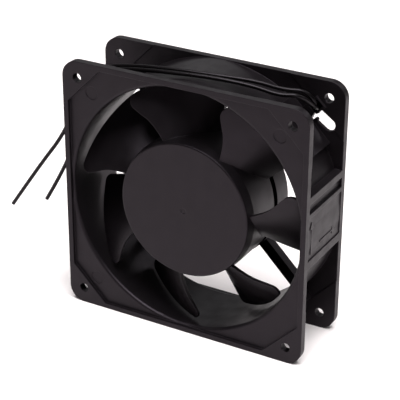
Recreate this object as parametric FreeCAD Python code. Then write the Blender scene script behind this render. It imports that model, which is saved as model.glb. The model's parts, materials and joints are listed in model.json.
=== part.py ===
import FreeCAD, Part
import math
import os

# A 120 x 120 x 38 mm alternating-current case fan with a shaded-pole motor.
# +Z is up, the spin axis runs along Y through the origin, the intake side with
# the rotor hub faces -Y and the struts are at the back.  Sizes in millimetres.

V = FreeCAD.Vector
ORIGIN = V(0, 0, 0)
BACKWARD = V(0, 1, 0)
SPIN = V(0, -1, 0)

# Frame
SIZE = 120.0
HALF = SIZE / 2
DEPTH = 38.0
FRONT = -DEPTH / 2
BACK = DEPTH / 2
CORNER_R = 7.6
CORNER_PARTS = 6
FLANGE_T = 3.2
RIM_W = 2.4
PANEL_RECESS = 1.6
PAD_OUTER = 98.5
PAD_INNER = 94.0
PAD_PROUD = 0.4
HOLE_PITCH = 104.8
HOLE_D = 4.4
EJECTOR_MARKS = 3
EJECTOR_AT = 46.0
EJECTOR_D = 6.2
EJECTOR_DEEP = 0.25

# Air duct
THROAT_R = 57.0
DUCT_R = 59.8
LIP_R = 1.6

# Flat on the duct beside the wire outlet, and the panel on the right side
FLAT_FAR = 60.5
FLAT_LOW = -15.3
FLAT_HIGH = 10.7
PANEL_X = 59.55
PANEL_TOP = 12.6
PANEL_BOTTOM = -13.6
PANEL_BAND = 2.0
PANEL_FOOT = 3.9
RECESS_X = 58.7
RIB_BOTTOM = 17.2
RIB_TOP = 20.4

# Struts and motor base
STRUT_W = 5.2
STRUT_FRONT = 14.4
RIB_END = 66.2
BASE_R = 33.0
BASE_WALL = 1.6
BASE_RIM_FRONT = 8.8
BASE_FLOOR = 16.6
BOSS_R = 10.5
BOSS_FRONT = 12.6
LABEL_R = 27.0
LABEL_T = 0.4

# Wire channel in the top right strut, and the slot beside its end
CHANNEL_ANGLE = 45.0
CHANNEL_SIDE = -0.9
CHANNEL_W = 4.0
CHANNEL_WALL = 1.1
CHANNEL_FRONT = 15.4
OUTLET_IN = 64.4
OUTLET_OUT = 69.6
TAB_IN = 60.5
TAB_T = 0.7
SLOT_TILT = -34.5
SLOT_X = 51.3
SLOT_Z = 41.3
SLOT_LONG = 9.4
SLOT_WIDE = 5.8
SLOT_END_R = 2.6
FINGER_R = 0.9
FINGER_AT = -3.8
FINGER_TIP = -1.9
NOTCH_END = -6.0
NOTCH_LOW = -4.3
NOTCH_HIGH = 0.3

# Impeller
HUB_R = 32.5
HUB_FACE_R = 31.7
HUB_FRONT = -17.0
HUB_SHOULDER = -12.0
HUB_REAR = 6.5
HUB_FACE_T = 2.2
HUB_EDGE_R = 0.8
GATE_R = 1.3
GATE_DEEP = 0.2
CUP_R = 30.0
BLADES = 7
BLADE_TIP_R = 55.4
BLADE_ROOT_R = 30.8
BLADE_LEAD_Y = -14.0
BLADE_TRAIL_Y = 7.5
BLADE_ROOT_T = 2.0
BLADE_TIP_T = 1.5
LEAD_ROOT_DEG = 7.5
LEAD_SWEEP = 0.6
TRAIL_ROOT_DEG = -28.0
TRAIL_SWEEP = 0.33
CAMBER_ROOT = 0.68
CAMBER_TIP = 0.16

# Motor
TUBE_R = 8.0
TUBE_FRONT = -10.6
TUBE_REAR = 17.2
SHAFT_R = 2.5
SHAFT_FRONT = -13.9
SHAFT_REAR = 17.6
BEARING_R = 6.5
BEARING_RACE = 0.9
BEARING_W = 4.0
BALL_R = 1.05
BALL_COUNT = 7
FRONT_BEARING_Y = -10.0
REAR_BEARING_Y = 12.0
SPRING_T = 0.8
CLIP_T = 0.5
SHIM_T = 0.3
CLIP_Y = REAR_BEARING_Y + BEARING_W + SHIM_T
STACK_FRONT = -7.0
STACK_REAR = 5.0
STATOR_R = 23.6
AIR_GAP = 0.4
POLES = 4
POLE_W = 9.0
SHOE_T = 2.6
SHOE_HALF_DEG = 37.0
SHADE_DEG = 21.0
CORE_RING_R = 12.4
BOBBIN_WALL = 0.5
COIL_T = 3.0
COIL_IN = 13.2
COIL_OUT = 18.6
CUP_WALL = 1.2
CUP_FRONT = -14.8
CUP_REAR = 5.6
CAGE_BARS = 17
BAR_R = 1.0
BAR_AT_R = 26.4
BOARD_FRONT = 10.0
BOARD_T = 1.2
PIN_R = 0.5
PIN_AT_R = 15.6
PIN_DEGREES = (38.2, 45.4, 135.0, 225.0)

# Lead wires
WIRE_D = 1.8
WIRE_R = WIRE_D / 2
WIRE_SIDE = 0.98
EXIT_A = 68.6
EXIT_B = 67.6


def cylinder(radius, y0, y1):
    return Part.makeCylinder(radius, y1 - y0, V(0, y0, 0), BACKWARD)


def ring(outer, inner, y0, y1):
    return cylinder(outer, y0, y1).cut(cylinder(inner, y0 - 1, y1 + 1))


def block(x0, x1, y0, y1, z0, z1):
    return Part.makeBox(x1 - x0, y1 - y0, z1 - z0, V(x0, y0, z0))


def turned(shape, degrees):
    """A copy turned about the spin axis, counter-clockwise as the hub's face is seen."""
    copy = shape.copy()
    copy.rotate(ORIGIN, SPIN, degrees)
    return copy


def polar(radius, degrees, y=0.0):
    angle = math.radians(degrees)
    return V(radius * math.cos(angle), y, radius * math.sin(angle))


def revolved(points):
    """A solid of revolution from corners given as (radius, y)."""
    wire = Part.makePolygon([V(r, y, 0) for r, y in points + points[:1]])
    return Part.Face(wire).revolve(ORIGIN, BACKWARD, 360)


def rounded_square(half, corner_r, y0, y1):
    """A square plate with round corners, each corner made of a few equal arcs."""
    middle, step = half - corner_r, 90.0 / CORNER_PARTS
    edges = []
    for corner in range(4):
        centre = turned(Part.Vertex(middle, y0, middle), 90 * corner).Point
        for part in range(CORNER_PARTS):
            start = 90 * corner + step * part
            ends = [centre + polar(corner_r, start + step * k / 2) for k in range(3)]
            edges.append(Part.Arc(*ends).toShape())
        after = turned(Part.Vertex(middle, y0, middle), 90 * (corner + 1)).Point
        edges.append(Part.makeLine(ends[2], after + polar(corner_r, 90 * (corner + 1))))
    return Part.Face(Part.Wire(edges)).extrude(V(0, y1 - y0, 0))


def diamond(reach, y0, y1):
    """The square prism |x| + |z| < reach."""
    corners = [V(reach, y0, 0), V(0, y0, reach), V(-reach, y0, 0), V(0, y0, -reach)]
    return Part.Face(Part.makePolygon(corners + corners[:1])).extrude(V(0, y1 - y0, 0))


def save(name, shape):
    solids = shape.Solids
    whole = solids[0] if len(solids) == 1 else Part.makeCompound(solids)
    print(f"{name}: {len(solids)} solid(s), {whole.Volume:.1f} mm3, valid {whole.isValid()}")
    whole.exportStep(f"parts/{name}.step")


# ---------------------------------------------------------------- frame

def flange():
    """The front flange: a plate with a sunk panel in front and four raised corner pads behind."""
    plate = rounded_square(HALF, CORNER_R, FRONT, FRONT + FLANGE_T)
    pads = rounded_square(HALF, CORNER_R, FRONT + FLANGE_T, FRONT + FLANGE_T + PAD_PROUD)
    plate = plate.fuse(pads.cut(diamond(PAD_INNER, FRONT, 1)))
    inside = HALF - RIM_W
    hollow = block(-inside, inside, FRONT - 1, FRONT + PANEL_RECESS, -inside, inside)
    plate = plate.cut(hollow.common(diamond(PAD_OUTER, FRONT - 1, FRONT + PANEL_RECESS)))
    for corner in range(4):
        at = turned(Part.Vertex(HOLE_PITCH / 2, FRONT - 1, HOLE_PITCH / 2), 90 * corner).Point
        plate = plate.cut(Part.makeCylinder(HOLE_D / 2, FLANGE_T + 2, at, BACKWARD))
    for corner in range(EJECTOR_MARKS):
        mark = turned(Part.Vertex(EJECTOR_AT, FRONT, EJECTOR_AT), 90 * corner).Point
        deep = PANEL_RECESS + EJECTOR_DEEP
        plate = plate.cut(Part.makeCylinder(EJECTOR_D / 2, deep, mark, BACKWARD))
    return plate


def duct_bore():
    """The air passage, with a rounded lip at each end that the rim's straight sides cut off."""
    lip_y = FRONT + PANEL_RECESS
    mouth = THROAT_R + LIP_R
    inside = HALF - RIM_W
    within_rim = block(-inside, inside, FRONT - 1, 0, -inside, inside)
    bore = cylinder(THROAT_R, FRONT - 1, BACK + 1)
    for sign in (1, -1):
        lip = cylinder(mouth, lip_y, lip_y + LIP_R)
        lip = lip.cut(Part.makeTorus(mouth, LIP_R, V(0, lip_y + LIP_R, 0), BACKWARD))
        well = cylinder(mouth, FRONT - 1, lip_y)
        flare = lip.fuse(well).common(within_rim)
        if sign < 0:
            flare = flare.mirror(ORIGIN, BACKWARD)
        bore = bore.fuse(flare)
    return bore


def side_panel():
    """The flat with the two direction arrows between the flanges, and the rib above it."""
    y0, y1 = FRONT + FLANGE_T - 0.5, BACK - FLANGE_T + 0.5
    panel = block(50, PANEL_X, y0, y1, PANEL_BOTTOM, PANEL_TOP)
    panel = panel.fuse(block(50, HALF, y0, y1, PANEL_TOP - PANEL_BAND, PANEL_TOP))
    panel = panel.fuse(block(50, HALF, y0, y1, PANEL_BOTTOM, PANEL_BOTTOM + PANEL_FOOT))
    panel = panel.fuse(block(50, RECESS_X, y0, y1, PANEL_TOP, RIB_BOTTOM))
    panel = panel.fuse(block(50, HALF, y0, y1, RIB_BOTTOM, RIB_TOP))
    air = arrow(V(PANEL_X - 0.1, -3.7, -5.0), V(0, 1, 0), V(0, 0, 1), 15.0)
    turn = arrow(V(PANEL_X - 0.1, -12.6, -7.5), V(0, 0, 1), V(0, 1, 0), 15.5)
    return panel.fuse([air, turn])


def arrow(tail, along, across, length):
    """A raised arrow on the side panel."""
    shaft_half, head_half, head_long, proud = 0.45, 1.7, 3.2, 0.4
    neck = length - head_long
    outline = [(0, -shaft_half), (neck, -shaft_half), (neck, -head_half), (length, 0),
               (neck, head_half), (neck, shaft_half), (0, shaft_half), (0, -shaft_half)]
    wire = Part.makePolygon([tail + along * a + across * b for a, b in outline])
    return Part.Face(wire).extrude(V(proud, 0, 0))


def strut(width, side, y0, y1, far):
    """A radial bar along +X, shifted sideways, from inside the base to the given radius."""
    return block(BASE_R - 3, far, y0, y1, -side - width / 2, -side + width / 2)


def wire_slot():
    """The slot through the back flange beside the wire outlet: square inside, round outside."""
    half, y0, low = SLOT_LONG / 2, STRUT_FRONT - 2, -SLOT_WIDE / 2
    slot = block(-half, half, y0, BACK + 1, low, -low)
    ends = [e for e in slot.Edges
            if abs(e.Vertexes[0].Y - e.Vertexes[1].Y) > 1 and e.Vertexes[0].X > 0]
    slot = slot.makeFillet(SLOT_END_R, ends)
    notch = block(NOTCH_END, FINGER_AT - FINGER_R, y0, BACK + 2, NOTCH_LOW, NOTCH_HIGH)
    slot = slot.fuse(notch)
    finger = block(FINGER_AT - FINGER_R, FINGER_AT + FINGER_R, y0, BACK + 2, low - 1,
                   FINGER_TIP - FINGER_R)
    tip = Part.makeCylinder(FINGER_R, BACK + 2 - y0, V(FINGER_AT, y0, FINGER_TIP - FINGER_R),
                            BACKWARD)
    slot = slot.cut(finger.fuse(tip))
    slot = turned(slot, SLOT_TILT)
    slot.translate(V(SLOT_X, 0, SLOT_Z))
    return slot


def motor_base():
    floor = cylinder(BASE_R, BASE_FLOOR, BACK)
    wall = ring(BASE_R, BASE_R - BASE_WALL, BASE_RIM_FRONT, BASE_FLOOR)
    boss = cylinder(BOSS_R, BOSS_FRONT, BASE_FLOOR)
    base = floor.fuse([wall, boss])
    base = base.cut(cylinder(TUBE_R, BOSS_FRONT - 1, TUBE_REAR))
    base = base.cut(cylinder(BEARING_R, TUBE_REAR - 0.5, BACK + 1))
    return base.cut(cylinder(LABEL_R, BACK - LABEL_T, BACK + 1))


def housing():
    front_flange = flange()
    back_flange = front_flange.mirror(ORIGIN, BACKWARD)
    duct = cylinder(DUCT_R, FRONT + PANEL_RECESS, BACK - PANEL_RECESS)
    flat = block(50, FLAT_FAR, FRONT + FLANGE_T - 0.5, BACK - FLANGE_T + 0.5,
                 FLAT_LOW, FLAT_HIGH)
    body = front_flange.fuse([back_flange, duct, turned(flat, CHANNEL_ANGLE), side_panel()])
    bars = [turned(strut(STRUT_W, 0, STRUT_FRONT, BACK, RIB_END), CHANNEL_ANGLE + 90 * n)
            for n in (1, 2, 3)]
    channel_w = CHANNEL_W + 2 * CHANNEL_WALL
    bars.append(turned(strut(channel_w, CHANNEL_SIDE, STRUT_FRONT, BACK, OUTLET_OUT + 0.6),
                       CHANNEL_ANGLE))
    outside = ring(90, THROAT_R + 1, STRUT_FRONT - 1, BACK + 1)
    body = body.cut(duct_bore())
    body = body.fuse([bar.common(outside) for bar in bars])
    inside = cylinder(THROAT_R + 1, STRUT_FRONT, BACK)
    body = body.fuse([bar.common(inside) for bar in bars] + [motor_base()])
    body = body.cut(cylinder(TUBE_R, BOSS_FRONT - 1, TUBE_REAR))
    body = body.cut(cylinder(BEARING_R, TUBE_REAR - 0.5, BACK + 1))
    body = body.cut(cylinder(BASE_R - BASE_WALL, STRUT_FRONT - 0.1, BASE_FLOOR)
                    .cut(cylinder(BOSS_R, STRUT_FRONT - 1, BACK)))
    channel = block(BASE_R - 4.5, OUTLET_OUT, CHANNEL_FRONT, BACK + 1,
                    -CHANNEL_SIDE - CHANNEL_W / 2, -CHANNEL_SIDE + CHANNEL_W / 2)
    outlet = block(OUTLET_IN, OUTLET_OUT, STRUT_FRONT - 3, BACK + 1,
                   -CHANNEL_SIDE - CHANNEL_W / 2, -CHANNEL_SIDE + CHANNEL_W / 2)
    tab = block(TAB_IN, OUTLET_OUT, BACK - TAB_T, BACK,
                -CHANNEL_SIDE - CHANNEL_W / 2, -CHANNEL_SIDE + CHANNEL_W / 2)
    body = body.cut(turned(channel.fuse(outlet).cut(tab), CHANNEL_ANGLE))
    return body.cut(wire_slot())


# ---------------------------------------------------------------- impeller

def blade_middle(radius, degrees):
    """Height along Y of a blade's middle surface, and its slope along the turning direction."""
    lead = LEAD_ROOT_DEG + LEAD_SWEEP * (radius - BLADE_ROOT_R)
    trail = TRAIL_ROOT_DEG + TRAIL_SWEEP * (radius - BLADE_ROOT_R)
    part = (radius - BLADE_ROOT_R) / (BLADE_TIP_R - BLADE_ROOT_R)
    camber = CAMBER_ROOT + (CAMBER_TIP - CAMBER_ROOT) * part
    s = (lead - degrees) / (lead - trail)
    rise = BLADE_TRAIL_Y - BLADE_LEAD_Y
    y = BLADE_LEAD_Y + rise * ((1 - camber) * s + camber * s * s)
    chord = math.radians(lead - trail) * radius
    slope = rise * ((1 - camber) + 2 * camber * s) / chord
    thick = BLADE_ROOT_T + (BLADE_TIP_T - BLADE_ROOT_T) * part
    return y, thick / 2 * math.sqrt(1 + slope * slope)


def blade_section(x):
    """The closed outline of a blade cut by the plane at this x, a little wider than the blade."""
    across = [x * math.tan(math.radians(a)) for a in (-34, -26, -18, -10, -2, 6, 14, 22, 27)]
    front, back = [], []
    for z in across:
        y, half = blade_middle(math.hypot(x, z), math.degrees(math.atan2(z, x)))
        front.append(V(x, y - half, z))
        back.append(V(x, y + half, z))
    curves = []
    for points in (front, back[::-1]):
        curve = Part.BSplineCurve()
        curve.interpolate(points)
        curves.append(curve.toShape())
    ends = [Part.makeLine(front[-1], back[-1]), Part.makeLine(back[0], front[0])]
    return Part.Wire([curves[0], ends[0], curves[1], ends[1]])


def blade_plan():
    """The outline of a blade along the spin axis: swept forward to a rounded leading tip."""
    lead = Part.BSplineCurve()
    lead.interpolate([polar(BLADE_ROOT_R, 7.3), polar(38, 10.8), polar(43, 14.0),
                      polar(47, 17.2), polar(50.4, 19.3)])
    lead_tip = Part.Arc(polar(50.4, 19.3), polar(53.8, 18.9), polar(BLADE_TIP_R, 15.6))
    tip = Part.Arc(polar(BLADE_TIP_R, 15.6), polar(BLADE_TIP_R, 0), polar(BLADE_TIP_R, -18.0))
    trail_tip = Part.Arc(polar(BLADE_TIP_R, -18.0), polar(54.8, -19.8), polar(53.2, -20.7))
    trail = Part.LineSegment(polar(53.2, -20.7), polar(BLADE_ROOT_R, -28.0))
    root = Part.Arc(polar(BLADE_ROOT_R, -28.0), polar(BLADE_ROOT_R, -10.0),
                    polar(BLADE_ROOT_R, 7.3))
    wire = Part.Wire([piece.toShape() for piece in (lead, lead_tip, tip, trail_tip, trail, root)])
    wire.translate(V(0, BLADE_LEAD_Y - BLADE_ROOT_T, 0))
    return Part.Face(wire).extrude(V(0, BLADE_TRAIL_Y - BLADE_LEAD_Y + BLADE_ROOT_T, 0))


def blade():
    stations = (26, 32, 38, 44, 50, 56)
    sheet = Part.makeLoft([blade_section(x) for x in stations], True, False)
    return sheet.common(blade_plan())


def impeller():
    shell = revolved([(0, HUB_FRONT), (HUB_FACE_R - HUB_EDGE_R, HUB_FRONT),
                      (HUB_FACE_R - 0.25 * HUB_EDGE_R, HUB_FRONT + 0.3 * HUB_EDGE_R),
                      (HUB_FACE_R, HUB_FRONT + HUB_EDGE_R), (HUB_R, HUB_SHOULDER),
                      (HUB_R, HUB_REAR), (CUP_R, HUB_REAR), (CUP_R, HUB_FRONT + HUB_FACE_T),
                      (0, HUB_FRONT + HUB_FACE_T)])
    shell = shell.cut(cylinder(GATE_R, HUB_FRONT - 1, HUB_FRONT + GATE_DEEP))
    one = blade()
    blades = [turned(one, n * 360.0 / BLADES) for n in range(BLADES)]
    return shell.fuse(blades).removeSplitter()


# ---------------------------------------------------------------- rotor

def rotor_cup():
    cup = cylinder(CUP_R, CUP_FRONT, CUP_REAR)
    cup = cup.cut(cylinder(CUP_R - CUP_WALL, CUP_FRONT + CUP_WALL, CUP_REAR + 1))
    return cup.cut(cylinder(4.0, CUP_FRONT - 1, 0))


def cage_bars(radius):
    bar = Part.makeCylinder(radius, STACK_REAR - STACK_FRONT, V(BAR_AT_R, STACK_FRONT, 0),
                            BACKWARD)
    return [turned(bar, n * 360.0 / CAGE_BARS) for n in range(CAGE_BARS)]


def rotor_laminations():
    stack = ring(CUP_R - CUP_WALL, STATOR_R + AIR_GAP, STACK_FRONT, STACK_REAR)
    return stack.cut(Part.makeCompound(cage_bars(BAR_R)))


def squirrel_cage():
    inner, outer = STATOR_R + AIR_GAP + 0.5, CUP_R - CUP_WALL - 0.4
    front = ring(outer, inner, STACK_FRONT - 2, STACK_FRONT)
    back = ring(outer, inner, STACK_REAR, STACK_REAR + 0.6)
    return front.fuse(cage_bars(BAR_R) + [back])


def shaft():
    rod = cylinder(SHAFT_R, SHAFT_FRONT, SHAFT_REAR)
    return rod.cut(ring(SHAFT_R + 1, SHAFT_R - 0.4, CLIP_Y, CLIP_Y + CLIP_T))


def rotor_bush():
    collar = cylinder(5.5, CUP_FRONT + CUP_WALL, CUP_FRONT + CUP_WALL + 2.0)
    sleeve = cylinder(4.0, CUP_FRONT, CUP_FRONT + CUP_WALL)
    return collar.fuse(sleeve).cut(cylinder(SHAFT_R, CUP_FRONT - 1, 0))


# ---------------------------------------------------------------- bearings

def bearing(y0):
    """Outer ring, inner ring, ball cage and balls of a 5 x 13 x 4 mm ball bearing."""
    y1, middle = y0 + BEARING_W, y0 + BEARING_W / 2
    pitch = (BEARING_R + SHAFT_R) / 2
    outer = ring(BEARING_R, BEARING_R - BEARING_RACE, y0, y1)
    inner = ring(SHAFT_R + BEARING_RACE, SHAFT_R, y0, y1)
    ball = Part.makeSphere(BALL_R, V(pitch, middle, 0))
    pocket = Part.makeCylinder(BALL_R + 0.08, 4, V(pitch - 2, middle, 0), V(1, 0, 0))
    cage = ring(pitch + 0.4, pitch - 0.4, middle - 1.5, middle + 1.5)
    cage = cage.cut([turned(pocket, n * 360.0 / BALL_COUNT) for n in range(BALL_COUNT)])
    balls = [turned(ball, n * 360.0 / BALL_COUNT) for n in range(BALL_COUNT)]
    return outer, inner, cage, Part.makeCompound(balls)


def bearing_tube():
    tube = ring(TUBE_R, BEARING_R - BEARING_RACE, TUBE_FRONT, TUBE_REAR)
    tube = tube.cut(cylinder(BEARING_R, TUBE_FRONT - 1, FRONT_BEARING_Y + BEARING_W))
    return tube.cut(cylinder(BEARING_R, REAR_BEARING_Y - SPRING_T, TUBE_REAR + 1))


def preload_spring():
    washer = ring(BEARING_R - 0.1, BEARING_R - 1.3, REAR_BEARING_Y - SPRING_T, REAR_BEARING_Y)
    return washer.cut(block(0, 9, 0, 20, -0.4, 0.4))


def retaining_clip():
    clip = ring(4.4, SHAFT_R - 0.4, CLIP_Y, CLIP_Y + CLIP_T)
    return clip.cut(block(0, 9, CLIP_Y - 1, CLIP_Y + 2, -1.6, 1.6))


# ---------------------------------------------------------------- stator

def pole_neck():
    return block(CORE_RING_R - 1, STATOR_R - 1, STACK_FRONT, STACK_REAR,
                 -POLE_W / 2, POLE_W / 2)


def sector(half_deg, y0, y1):
    reach = 2 * STATOR_R
    corners = [V(0, y0, 0), polar(reach, -half_deg, y0), polar(reach, half_deg, y0), V(0, y0, 0)]
    return Part.Face(Part.makePolygon(corners)).extrude(V(0, y1 - y0, 0))


def stator_laminations():
    shoe = ring(STATOR_R, STATOR_R - SHOE_T, STACK_FRONT, STACK_REAR)
    shoe = shoe.common(sector(SHOE_HALF_DEG, STACK_FRONT - 1, STACK_REAR + 1))
    pole = pole_neck().fuse(shoe)
    pole = pole.common(cylinder(STATOR_R, STACK_FRONT, STACK_REAR))
    notch = block(STATOR_R - 1.5, STATOR_R + 1, STACK_FRONT - 1, STACK_REAR + 1, -0.6, 0.6)
    pole = pole.cut(turned(notch, SHADE_DEG))
    core = ring(CORE_RING_R, TUBE_R, STACK_FRONT, STACK_REAR)
    return core.fuse([turned(pole, 90 * n) for n in range(POLES)]).removeSplitter()


def neck_frame(inner_grow, outer_grow, x0, x1):
    """A rectangular tube round a pole's neck, between two distances from the axis."""
    half_w, y0, y1 = POLE_W / 2, STACK_FRONT, STACK_REAR
    outer = block(x0, x1, y0 - outer_grow, y1 + outer_grow,
                  -half_w - outer_grow, half_w + outer_grow)
    inner = block(x0 - 1, x1 + 1, y0 - inner_grow, y1 + inner_grow,
                  -half_w - inner_grow, half_w + inner_grow)
    return outer.cut(inner)


def bobbin():
    """A pole's coil former; its outer cheek reaches back to carry the terminal board."""
    spool = neck_frame(0, BOBBIN_WALL, COIL_IN - BOBBIN_WALL, COIL_OUT + BOBBIN_WALL)
    inner_cheek = neck_frame(0, BOBBIN_WALL + 1.5, COIL_IN - BOBBIN_WALL, COIL_IN)
    outer_cheek = neck_frame(0, BOBBIN_WALL + COIL_T, COIL_OUT, COIL_OUT + BOBBIN_WALL)
    leg = block(COIL_OUT, COIL_OUT + BOBBIN_WALL, STACK_REAR + BOBBIN_WALL + COIL_T,
                BOARD_FRONT, -3, 3)
    return spool.fuse([inner_cheek, outer_cheek, leg])


def coil():
    return neck_frame(BOBBIN_WALL, BOBBIN_WALL + COIL_T, COIL_IN, COIL_OUT)


def shading_ring():
    """The copper loop round one side of a pole's shoe, through the notch in the shoe."""
    wire = 1.0
    y0, y1 = STACK_FRONT - wire, STACK_REAR + wire
    in_notch = turned(block(STATOR_R - 1.4, STATOR_R - 0.4, y0, y1, -0.5, 0.5), SHADE_DEG)
    at_edge = turned(block(STATOR_R - 1.4, STATOR_R - 0.4, y0, y1, 0.02, 1.0), SHOE_HALF_DEG)
    span = ring(STATOR_R - 0.5, STATOR_R - 1.4, 0, wire)
    wedge = sector((SHOE_HALF_DEG - SHADE_DEG) / 2 + 0.8, -1, wire + 1)
    span = span.common(turned(wedge, (SHOE_HALF_DEG + SHADE_DEG) / 2 + 0.6))
    ends = []
    for y in (y0, STACK_REAR):
        end = span.copy()
        end.translate(V(0, y, 0))
        ends.append(end)
    return in_notch.fuse([at_edge] + ends)


def terminal_board():
    board = ring(COIL_OUT + 2.2, 9.0, BOARD_FRONT, BOARD_FRONT + BOARD_T)
    for pin_deg in PIN_DEGREES:
        hole = Part.makeCylinder(PIN_R, 4, polar(PIN_AT_R, pin_deg, BOARD_FRONT - 1), BACKWARD)
        board = board.cut(hole)
    return board


def terminal_pins():
    pins = []
    for pin_deg in PIN_DEGREES:
        at = polar(PIN_AT_R, pin_deg, BOARD_FRONT - 0.6)
        pins.append(Part.makeCylinder(PIN_R, BOARD_T + 0.6, at, BACKWARD))
    return Part.makeCompound(pins)


# ---------------------------------------------------------------- lead wires

def tube_along(name, points, diameter):
    """A round tube along straight runs joined by tangent arcs as large as the runs allow."""
    edges, radii = [], []
    start = points[0]
    for before, corner, after in zip(points, points[1:], points[2:]):
        toward, away = (before - corner), (after - corner)
        shorter = min(toward.Length, away.Length)
        toward.normalize()
        away.normalize()
        turn = math.pi - toward.getAngle(away)
        radius = 0.45 * shorter / math.tan(turn / 2)
        setback = 0.45 * shorter
        bisector = toward + away
        bisector.normalize()
        middle = corner + bisector * (radius / math.cos(turn / 2) - radius)
        enter, leave = corner + toward * setback, corner + away * setback
        edges.append(Part.LineSegment(start, enter).toShape())
        edges.append(Part.Arc(enter, middle, leave).toShape())
        radii.append(round(radius, 1))
        start = leave
    edges.append(Part.LineSegment(start, points[-1]).toShape())
    path = Part.Wire(edges)
    heading = points[1] - points[0]
    section = Part.Wire([Part.Circle(points[0], heading, diameter / 2).toShape()])
    tube = path.makePipeShell([section], True, True)
    expected = math.pi * diameter ** 2 / 4 * path.Length
    print(f"{name}: length {path.Length:.1f} mm, radii {radii}, volume over section times "
          f"length {tube.Volume / expected:.4f}")
    return tube


def channel_point(along, y, side):
    """A point in the wire channel, by distance from the axis, Y and sideways shift."""
    return turned(Part.Vertex(along, y, -CHANNEL_SIDE - side), CHANNEL_ANGLE).Point


def inner_run(side, exit_at):
    """A lead's hidden part, from its coil along the channel to a bend out through the outlet."""
    return [channel_point(15.0, 12.15, side), channel_point(24.2, 12.4, side),
            channel_point(31.8, 17.2, side), channel_point(40.5, 17.4, side),
            channel_point(50.0, 17.2, side), channel_point(58.5, 17.3, side),
            channel_point(exit_at - 2.3, 16.9, side), channel_point(exit_at, 13.2, side)]


LEAD_A = [channel_point(EXIT_A, 13.2, -WIRE_SIDE), channel_point(EXIT_A + 1.7, 10.5, -WIRE_SIDE),
          V(44.6, 8.6, 56.6), V(36.5, 4.0, 56.9), V(26.0, -0.9, 60.4), V(10.0, -6.4, 61.7),
          V(-7.0, -9.5, 61.9), V(-26.0, -10.8, 60.5), V(-44.5, -11.2, 56.8), V(-54.5, -9.8, 47.9),
          V(-66.2, -8.8, 20.4), V(-81.5, -9.9, -0.2), V(-97.7, -10.2, -23.7)]
LEAD_B = [channel_point(EXIT_B, 13.2, WIRE_SIDE), channel_point(EXIT_B + 1.7, 10.5, WIRE_SIDE),
          V(45.2, 1.9, 57.1), V(36.8, -1.1, 56.3), V(26.6, -4.1, 59.4), V(10.6, -8.3, 61.3),
          V(-6.0, -11.4, 61.2), V(-21.0, -12.4, 60.1), V(-38.0, -13.0, 57.6), V(-50.5, -11.7, 50.7),
          V(-59.0, -10.1, 22.3), V(-66.4, -10.0, 3.0), V(-77.7, -10.4, -16.1)]


def main():
    os.makedirs("parts", exist_ok=True)
    save("housing", housing())
    save("impeller", impeller())
    save("rotor_cup", rotor_cup())
    save("rotor_laminations", rotor_laminations())
    save("squirrel_cage", squirrel_cage())
    save("shaft", shaft())
    save("rotor_bush", rotor_bush())
    save("bearing_tube", bearing_tube())
    for place, y in (("front", FRONT_BEARING_Y), ("rear", REAR_BEARING_Y)):
        outer, inner, cage, balls = bearing(y)
        save(f"{place}_bearing_outer_ring", outer)
        save(f"{place}_bearing_inner_ring", inner)
        save(f"{place}_bearing_cage", cage)
        save(f"{place}_bearing_balls", balls)
    save("preload_spring", preload_spring())
    save("retaining_clip", retaining_clip())
    save("rear_shim", ring(SHAFT_R + 1.2, SHAFT_R, CLIP_Y - SHIM_T, CLIP_Y))
    save("front_spacer", ring(SHAFT_R + BEARING_RACE, SHAFT_R, CUP_FRONT + CUP_WALL + 2.0,
                              FRONT_BEARING_Y))
    save("stator_laminations", stator_laminations())
    for n in range(POLES):
        save(f"bobbin_{n + 1}", turned(bobbin(), 90 * n))
        save(f"coil_{n + 1}", turned(coil(), 90 * n))
        save(f"shading_ring_{n + 1}", turned(shading_ring(), 90 * n))
    save("terminal_board", terminal_board())
    save("terminal_pins", terminal_pins())
    save("rear_label", cylinder(LABEL_R - 0.2, BACK - LABEL_T, BACK - 0.15))
    save("lead_a_inner_run", tube_along("inner run A", inner_run(-WIRE_SIDE, EXIT_A), WIRE_D))
    save("lead_b_inner_run", tube_along("inner run B", inner_run(WIRE_SIDE, EXIT_B), WIRE_D))
    save("lead_a", tube_along("lead A", LEAD_A, WIRE_D))
    save("lead_b", tube_along("lead B", LEAD_B, WIRE_D))


main()
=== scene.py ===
"""Looks of the case fan: materials, lead wires, camera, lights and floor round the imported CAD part."""

import json
import math

import bpy
from mathutils import Matrix, Vector

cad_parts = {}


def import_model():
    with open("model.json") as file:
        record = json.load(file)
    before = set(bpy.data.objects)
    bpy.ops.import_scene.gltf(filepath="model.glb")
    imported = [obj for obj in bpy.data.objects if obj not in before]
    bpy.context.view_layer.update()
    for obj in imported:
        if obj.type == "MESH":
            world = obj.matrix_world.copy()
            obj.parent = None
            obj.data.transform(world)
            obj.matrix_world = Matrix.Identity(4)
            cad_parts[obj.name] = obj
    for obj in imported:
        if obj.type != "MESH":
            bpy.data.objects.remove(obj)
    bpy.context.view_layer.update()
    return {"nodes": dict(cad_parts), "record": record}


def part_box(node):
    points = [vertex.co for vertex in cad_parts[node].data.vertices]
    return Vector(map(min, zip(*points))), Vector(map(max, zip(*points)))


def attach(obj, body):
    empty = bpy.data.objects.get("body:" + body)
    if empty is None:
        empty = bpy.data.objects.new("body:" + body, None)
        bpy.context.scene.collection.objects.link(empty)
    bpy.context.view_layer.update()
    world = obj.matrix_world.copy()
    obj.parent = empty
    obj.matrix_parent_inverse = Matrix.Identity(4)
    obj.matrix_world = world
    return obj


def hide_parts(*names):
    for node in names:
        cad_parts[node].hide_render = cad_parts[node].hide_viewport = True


MM = 0.001

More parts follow.
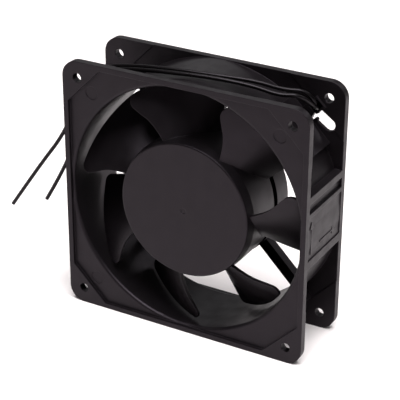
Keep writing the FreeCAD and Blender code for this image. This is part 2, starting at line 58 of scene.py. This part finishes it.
# Camera: angles in degrees, and a lens and sensor in millimetres, fitted to the frame's corners and holes
CAMERA_AZIMUTH = 29.53
CAMERA_ELEVATION = 26.39
CAMERA_ROLL = 0.29
CAMERA_DISTANCE = 647.5 * MM
CAMERA_AIM = Vector((-1.24, 0.0, -2.24)) * MM
CAMERA_SENSOR = 36.0
CAMERA_LENS = 130.6

# Brightness of the sky in front of and behind the part, and the y of its direction where each starts
SKY_FRONT = 0.5
SKY_BACK = 1.0
SKY_FRONT_Y = -0.6
SKY_BACK_Y = 0.8

# Square soft boxes: name, place and side in metres, power in watts
SOFTBOXES = (("top_box", (0.2, -0.28, 1.4), 1.2, 50.0),
             ("rim_box", (0.62, 0.9, 0.8), 0.4, 2.5),
             ("back_box", (-0.62, 1.1, 0.62), 0.7, 1.2))

FLOOR_HALF = 6.0
FLOOR_MOTTLE = 0.4

# Moulded plastic: how much lighter the edges are painted as a highlight, surface grain, sink marks and
# edge rounding
EDGE_HIGHLIGHT_LIFT = 2.4
EDGE_HIGHLIGHT_SHARE = 0.5
SPARK_DEPTH = 0.02 * MM
SINK_SIZE = 25 * MM
SINK_DEPTH = 0.12 * MM
FRAME_GRAIN = 0.45 * MM
FRAME_EDGE = 0.45 * MM
IMPELLER_GRAIN = 0.5 * MM
IMPELLER_EDGE = 0.35 * MM
BEVEL_SAMPLES = 6

# Motor parts and rear label
SHEET_T = 0.5 * MM
TURN_D = 0.25 * MM
LABEL_RING_R = 24.5 * MM
LABEL_RING_W = 1.0 * MM

# Phase of Blender's wave texture along one axis, in radians per metre at scale 1
WAVE_PHASE = 20.0

# Lead wires: sizes in metres, and routes in millimetres from the channel to the free end
WIRE_D = 1.8 * MM
LEAD_A = ((47.18, 13.2, 49.83), (48.38, 10.5, 51.04), (44.6, 8.6, 56.6), (36.5, 4.0, 56.9),
          (26.0, -0.9, 60.4), (10.0, -6.4, 61.7), (-7.0, -9.5, 61.9), (-26.0, -10.8, 60.5),
          (-44.5, -11.2, 56.8), (-54.5, -9.8, 47.9), (-66.2, -8.8, 20.4), (-81.5, -9.9, -0.2),
          (-97.7, -10.2, -23.7))
LEAD_B = ((47.86, 13.2, 47.74), (49.06, 10.5, 48.94), (45.2, 1.9, 57.1), (36.8, -1.1, 56.3),
          (26.6, -4.1, 59.4), (10.6, -8.3, 61.3), (-6.0, -11.4, 61.2), (-21.0, -12.4, 60.1),
          (-38.0, -13.0, 57.6), (-50.5, -11.7, 50.7), (-59.0, -10.1, 22.3), (-66.4, -10.0, 3.0),
          (-77.7, -10.4, -16.1))


class Graph:
    """A material's node tree, with short calls for the nodes used here."""

    def __init__(self, name):
        self.material = bpy.data.materials.new(name)
        self.material.use_nodes = True
        self.tree = self.material.node_tree
        self.tree.nodes.clear()
        self.shader = self.tree.nodes.new("ShaderNodeBsdfPrincipled")
        output = self.tree.nodes.new("ShaderNodeOutputMaterial")
        self.link(self.shader.outputs["BSDF"], output.inputs["Surface"])
        self.place = self.tree.nodes.new("ShaderNodeTexCoord").outputs["Object"]

    def link(self, source, target):
        self.tree.links.new(source, target)

    def feed(self, socket, value):
        """Sets a socket, or links it where the value is another node's output."""
        if isinstance(value, bpy.types.NodeSocket):
            self.link(value, socket)
        else:
            socket.default_value = value

    def set(self, **values):
        """Sets or links the shader's inputs, whose names are given with _ for each space."""
        for name, value in values.items():
            self.feed(self.shader.inputs[name.replace("_", " ")], value)

    def noise(self, size, detail=3.0, roughness=0.5, place=None):
        """Noise between 0 and 1 whose features are about this size in metres."""
        node = self.tree.nodes.new("ShaderNodeTexNoise")
        node.inputs["Scale"].default_value = 1.0 / size
        node.inputs["Detail"].default_value = detail
        node.inputs["Roughness"].default_value = roughness
        self.link(place or self.place, node.inputs["Vector"])
        return node.outputs["Fac"]

    def stretch(self, factors):
        """The object's coordinates multiplied by these factors."""
        node = self.tree.nodes.new("ShaderNodeMapping")
        node.inputs["Scale"].default_value = factors
        self.link(self.place, node.inputs["Vector"])
        return node.outputs["Vector"]

    def ramp(self, value, low, high, to_low=0.0, to_high=1.0):
        """Maps a value from the first range to the second, and holds it at the ends."""
        node = self.tree.nodes.new("ShaderNodeMapRange")
        self.feed(node.inputs["Value"], value)
        node.inputs["From Min"].default_value = low
        node.inputs["From Max"].default_value = high
        node.inputs["To Min"].default_value = to_low
        node.inputs["To Max"].default_value = to_high
        return node.outputs["Result"]

    def math(self, operation, a, b=0.0):
        node = self.tree.nodes.new("ShaderNodeMath")
        node.operation = operation
        self.feed(node.inputs[0], a)
        self.feed(node.inputs[1], b)
        return node.outputs["Value"]

    def mix(self, factor, a, b):
        """Mixes two colours."""
        node = self.tree.nodes.new("ShaderNodeMix")
        node.data_type = "RGBA"
        self.feed(node.inputs[0], factor)
        self.feed(node.inputs[6], a)
        self.feed(node.inputs[7], b)
        return node.outputs[2]

    def bands(self, size, direction="Y", distortion=0.0):
        """Parallel bands of about this width in metres, dark and light in turn."""
        node = self.tree.nodes.new("ShaderNodeTexWave")
        node.bands_direction = direction
        node.inputs["Scale"].default_value = math.pi / (WAVE_PHASE * size)
        node.inputs["Distortion"].default_value = distortion
        self.link(self.place, node.inputs["Vector"])
        return node.outputs["Fac"]

    def radius(self):
        """Distance from the spin axis in metres."""
        split = self.tree.nodes.new("ShaderNodeSeparateXYZ")
        self.link(self.place, split.inputs["Vector"])
        x2 = self.math("MULTIPLY", split.outputs["X"], split.outputs["X"])
        z2 = self.math("MULTIPLY", split.outputs["Z"], split.outputs["Z"])
        return self.math("SQRT", self.math("ADD", x2, z2))

    def soft_edges(self, radius):
        """The normal as if each edge were rounded to this radius."""
        node = self.tree.nodes.new("ShaderNodeBevel")
        node.samples = BEVEL_SAMPLES
        node.inputs["Radius"].default_value = radius
        return node.outputs["Normal"]

    def painted_edge_highlight(self, rounded):
        """0 on flat areas, rising to 1 where the rounded normal leaves the true one; it marks where edges
        are painted lighter as a highlight.
        """
        flat = self.tree.nodes.new("ShaderNodeNewGeometry").outputs["Normal"]
        node = self.tree.nodes.new("ShaderNodeVectorMath")
        node.operation = "DOT_PRODUCT"
        self.link(rounded, node.inputs[0])
        self.link(flat, node.inputs[1])
        return self.ramp(node.outputs["Value"], 0.995, 0.85)

    def bump(self, height, distance, strength=1.0, normal=None):
        """The normal of a surface raised by this much where the height is 1."""
        node = self.tree.nodes.new("ShaderNodeBump")
        node.inputs["Distance"].default_value = distance
        node.inputs["Strength"].default_value = strength
        self.link(height, node.inputs["Height"])
        if normal is not None:
            self.link(normal, node.inputs["Normal"])
        return node.outputs["Normal"]


def rgb(r, g, b):
    return (r, g, b, 1.0)


def black_plastic(name, dark, light, roughness, grain, edge):
    """Moulded black plastic: a fine sparked grain, faint cloudy colour and edges painted lighter as a
    highlight.
    """
    g = Graph(name)
    rounded = g.soft_edges(edge)
    highlight_mask = g.painted_edge_highlight(rounded)
    cloud = g.ramp(g.noise(14 * MM, 4.0), 0.35, 0.65)
    speck = g.ramp(g.noise(0.9 * MM, 2.0), 0.3, 0.75)
    body = g.mix(g.math("MULTIPLY", cloud, speck), dark, light)
    # The edges' colour is lifted here: a painted highlight along the rounded edges.
    highlight_colour = rgb(*(EDGE_HIGHLIGHT_LIFT * channel for channel in light[:3]))
    g.set(Base_Color=g.mix(g.math("MULTIPLY", highlight_mask, EDGE_HIGHLIGHT_SHARE), body, highlight_colour))
    spread = g.ramp(g.noise(6 * MM, 5.0), 0.3, 0.7, roughness - 0.05, roughness + 0.06)
    g.set(Roughness=spread)
    g.set(Specular_IOR_Level=0.22, Specular_Tint=rgb(1.0, 0.86, 1.0))
    sparked = g.bump(g.noise(grain, 2.0, 0.6), SPARK_DEPTH, 0.5, rounded)
    g.set(Normal=g.bump(g.noise(SINK_SIZE, 1.0), SINK_DEPTH, 0.35, sparked))
    return g.material


def wire_plastic(name):
    """Black extruded insulation with a faint sheen and unevenness."""
    g = Graph(name)
    g.set(Base_Color=g.mix(g.noise(4 * MM, 3.0), rgb(0.0015, 0.0012, 0.0014),
                           rgb(0.003, 0.0025, 0.0028)))
    g.set(Specular_IOR_Level=0.16, Specular_Tint=rgb(1.0, 0.9, 1.0))
    g.set(Roughness=g.ramp(g.noise(3 * MM, 4.0), 0.3, 0.7, 0.26, 0.36))
    g.set(Normal=g.bump(g.noise(2.5 * MM, 1.0), 0.01 * MM, 0.2))
    return g.material


def metal(name, base, tint, roughness, brushed=(1.0, 1.0, 1.0), grain=0.8 * MM):
    """Metal with fine marks, drawn out along the axes with small factors."""
    g = Graph(name)
    marks = g.noise(grain, 4.0, 0.6, g.stretch(brushed))
    g.set(Base_Color=g.mix(g.ramp(marks, 0.3, 0.7), base, tint))
    g.shader.inputs["Metallic"].default_value = 1.0
    g.set(Roughness=g.ramp(g.noise(5 * MM, 3.0), 0.3, 0.7, roughness - 0.06, roughness + 0.08))
    g.set(Normal=g.bump(marks, 0.01 * MM, 0.4))
    return g.material


def laminations(name):
    """Edges of stacked steel sheets, a little rusty."""
    g = Graph(name)
    sheets = g.bands(SHEET_T)
    tarnish = g.ramp(g.noise(3 * MM, 4.0), 0.4, 0.7)
    steel = g.mix(sheets, rgb(0.16, 0.16, 0.17), rgb(0.42, 0.42, 0.43))
    g.set(Base_Color=g.mix(g.math("MULTIPLY", tarnish, 0.4), steel, rgb(0.2, 0.13, 0.09)))
    g.shader.inputs["Metallic"].default_value = 0.9
    g.set(Roughness=g.ramp(sheets, 0.0, 1.0, 0.55, 0.35))
    g.set(Normal=g.bump(sheets, 0.05 * MM, 0.7))
    return g.material


def windings(name):
    """Enamelled copper wire seen as fine turns."""
    g = Graph(name)
    turns = g.bands(TURN_D, "DIAGONAL", 0.3)
    g.set(Base_Color=g.mix(turns, rgb(0.2, 0.05, 0.02), rgb(0.62, 0.24, 0.09)))
    g.shader.inputs["Metallic"].default_value = 0.8
    g.shader.inputs["Coat Weight"].default_value = 0.6
    g.set(Roughness=g.ramp(g.noise(2 * MM), 0.3, 0.7, 0.3, 0.42))
    g.set(Normal=g.bump(turns, 0.08 * MM, 0.8))
    return g.material


def insulator(name, low, high, roughness):
    """Plain moulded or pressed insulation with faint mottling."""
    g = Graph(name)
    g.set(Base_Color=g.mix(g.ramp(g.noise(2.5 * MM, 5.0), 0.35, 0.65), low, high))
    g.set(Roughness=g.ramp(g.noise(4 * MM), 0.3, 0.7, roughness - 0.05, roughness + 0.05))
    g.set(Normal=g.bump(g.noise(0.4 * MM), 0.015 * MM, 0.5))
    return g.material


def label_film(name):
    """A blank dark label with a thin lighter border ring."""
    g = Graph(name)
    ring = g.math("MULTIPLY", g.math("GREATER_THAN", g.radius(), LABEL_RING_R - LABEL_RING_W),
                  g.math("LESS_THAN", g.radius(), LABEL_RING_R))
    film = g.mix(g.noise(7 * MM, 3.0), rgb(0.035, 0.035, 0.038), rgb(0.05, 0.05, 0.054))
    g.set(Base_Color=g.mix(ring, film, rgb(0.4, 0.4, 0.4)))
    g.set(Roughness=g.ramp(g.noise(3 * MM, 4.0), 0.3, 0.7, 0.3, 0.38))
    g.set(Normal=g.bump(g.noise(1.5 * MM), 0.01 * MM, 0.3))
    return g.material


def make_materials():
    """The finished material of each slot that the frame's nodes name."""
    return {
        "frame_black_plastic": black_plastic("frame_plastic", rgb(0.0030, 0.0024, 0.0028),
                                             rgb(0.0048, 0.0038, 0.0045), 0.44, FRAME_GRAIN,
                                             FRAME_EDGE),
        "impeller_black_plastic": black_plastic("impeller_plastic", rgb(0.0028, 0.0022, 0.0026),
                                                rgb(0.0044, 0.0035, 0.0041), 0.42,
                                                IMPELLER_GRAIN, IMPELLER_EDGE),
        "wire_black": wire_plastic("wire_insulation"),
        "bearing_steel": metal("ground_steel", rgb(0.55, 0.55, 0.56), rgb(0.72, 0.72, 0.73), 0.18),
        "shaft_steel": metal("shaft_steel", rgb(0.45, 0.45, 0.46), rgb(0.62, 0.62, 0.63), 0.28,
                             (1.0, 6.0, 1.0)),
        "spring_steel": metal("blued_steel", rgb(0.2, 0.21, 0.24), rgb(0.34, 0.35, 0.38), 0.38),
        "deep_drawn_steel": metal("zinc_plate", rgb(0.42, 0.42, 0.4), rgb(0.56, 0.56, 0.54), 0.42,
                                  (1.0, 0.2, 1.0)),
        "cage_aluminium": metal("cast_aluminium", rgb(0.6, 0.61, 0.63), rgb(0.76, 0.77, 0.79), 0.5),
        "die_cast_aluminium": metal("die_cast_metal", rgb(0.5, 0.51, 0.52), rgb(0.65, 0.66, 0.67),
                                    0.48),
        "sintered_brass": metal("sintered_brass", rgb(0.45, 0.33, 0.13), rgb(0.62, 0.47, 0.2), 0.45,
                                (1.0, 1.0, 1.0), 0.3 * MM),
        "shading_copper": metal("bare_copper", rgb(0.5, 0.2, 0.09), rgb(0.7, 0.33, 0.16), 0.35),
        "pin_tin": metal("tinned_pins", rgb(0.55, 0.55, 0.53), rgb(0.7, 0.7, 0.68), 0.4),
        "lamination_steel": laminations("lamination_edges"),
        "winding_copper": windings("coil_turns"),
        "bobbin_nylon": insulator("bobbin_nylon", rgb(0.55, 0.5, 0.38), rgb(0.66, 0.61, 0.48), 0.45),
        "board_laminate": insulator("board_laminate", rgb(0.26, 0.16, 0.05), rgb(0.36, 0.23, 0.09),
                                    0.5),
        "label_foil": label_film("blank_label"),
    }


def dress(frame, materials):
    """Gives each CAD node the finished material of its slot."""
    for entry in frame["record"]["subparts"]:
        node = frame["nodes"][entry["node"]]
        for index in range(len(node.material_slots)):
            node.material_slots[index].link = "DATA"
            node.material_slots[index].material = materials[entry["material_slot"]]


def lead_wire(name, route, node, material):
    """A free lead: one smooth curve along its route, cut square at its far end."""
    curve = bpy.data.curves.new(name, "CURVE")
    curve.dimensions = "3D"
    curve.bevel_depth = WIRE_D / 2
    curve.bevel_resolution = 6
    curve.resolution_u = 14
    curve.use_fill_caps = True
    spline = curve.splines.new("NURBS")
    spline.points.add(len(route) - 1)
    for point, place in zip(spline.points, route):
        point.co = (*(Vector(place) * MM), 1.0)
    spline.order_u = 3
    spline.use_endpoint_u = True
    wire = bpy.data.objects.new(name, curve)
    wire.data.materials.append(material)
    bpy.context.collection.objects.link(wire)
    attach(wire, "frame")
    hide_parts(node)


def make_camera():
    """The camera of the front view, looking down at the aim point from the front right."""
    azimuth, elevation = math.radians(CAMERA_AZIMUTH), math.radians(CAMERA_ELEVATION)
    roll = math.radians(CAMERA_ROLL)
    back = Vector((math.sin(azimuth) * math.cos(elevation),
                   -math.cos(azimuth) * math.cos(elevation), math.sin(elevation)))
    level = Vector((math.cos(azimuth), math.sin(azimuth), 0.0))
    upright = back.cross(level)
    right = level * math.cos(roll) + upright * math.sin(roll)
    up = upright * math.cos(roll) - level * math.sin(roll)
    data = bpy.data.cameras.new("camera")
    data.sensor_width = CAMERA_SENSOR
    data.lens = CAMERA_LENS
    data.clip_start = 0.05
    data.clip_end = 20.0
    camera = bpy.data.objects.new("camera", data)
    camera.matrix_world = (Matrix.Translation(CAMERA_AIM + back * CAMERA_DISTANCE)
                           @ Matrix((right, up, back)).transposed().to_4x4())
    bpy.context.collection.objects.link(camera)
    bpy.context.scene.camera = camera


def softbox(name, place, size, power):
    """A square area light aimed at the frame's centre."""
    data = bpy.data.lights.new(name, "AREA")
    data.shape = "SQUARE"
    data.size = size
    data.energy = power
    lamp = bpy.data.objects.new(name, data)
    lamp.location = place
    lamp.rotation_mode = "QUATERNION"
    lamp.rotation_quaternion = Vector(place).to_track_quat("Z", "Y")
    bpy.context.collection.objects.link(lamp)


def make_floor(floor_z):
    """A plain pale floor."""
    mesh = bpy.data.meshes.new("floor")
    corners = [(-FLOOR_HALF, -FLOOR_HALF, floor_z), (FLOOR_HALF, -FLOOR_HALF, floor_z),
               (FLOOR_HALF, FLOOR_HALF, floor_z), (-FLOOR_HALF, FLOOR_HALF, floor_z)]
    mesh.from_pydata(corners, [], [(0, 1, 2, 3)])
    floor = bpy.data.objects.new("floor", mesh)
    paper = Graph("floor_paper")
    paper.set(Base_Color=paper.mix(paper.noise(FLOOR_MOTTLE), rgb(0.88, 0.83, 0.83),
                                   rgb(0.9, 0.85, 0.85)))
    paper.set(Roughness=0.9)
    mesh.materials.append(paper.material)
    bpy.context.collection.objects.link(floor)


def make_sky():
    """A soft white sky that grows brighter from in front of the part to behind it."""
    world = bpy.data.worlds.new("studio")
    world.use_nodes = True
    nodes, links = world.node_tree.nodes, world.node_tree.links
    direction = nodes.new("ShaderNodeTexCoord").outputs["Generated"]
    split = nodes.new("ShaderNodeSeparateXYZ")
    links.new(direction, split.inputs["Vector"])
    fade = nodes.new("ShaderNodeMapRange")
    fade.interpolation_type = "SMOOTHSTEP"
    fade.inputs["From Min"].default_value = SKY_FRONT_Y
    fade.inputs["From Max"].default_value = SKY_BACK_Y
    fade.inputs["To Min"].default_value = SKY_FRONT
    fade.inputs["To Max"].default_value = SKY_BACK
    links.new(split.outputs["Y"], fade.inputs["Value"])
    links.new(fade.outputs["Result"], nodes["Background"].inputs["Strength"])
    bpy.context.scene.world = world


def make_studio(floor_z):
    """The floor, the sky and the soft boxes."""
    make_floor(floor_z)
    make_sky()
    for box in SOFTBOXES:
        softbox(*box)
    bpy.context.scene.view_settings.view_transform = "Standard"


def main():
    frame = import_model()
    materials = make_materials()
    make_camera()
    lead_wire("lead_wire_a", LEAD_A, "lead_a", materials["wire_black"])
    lead_wire("lead_wire_b", LEAD_B, "lead_b", materials["wire_black"])
    dress(frame, materials)
    make_studio(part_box("housing")[0].z)


main()
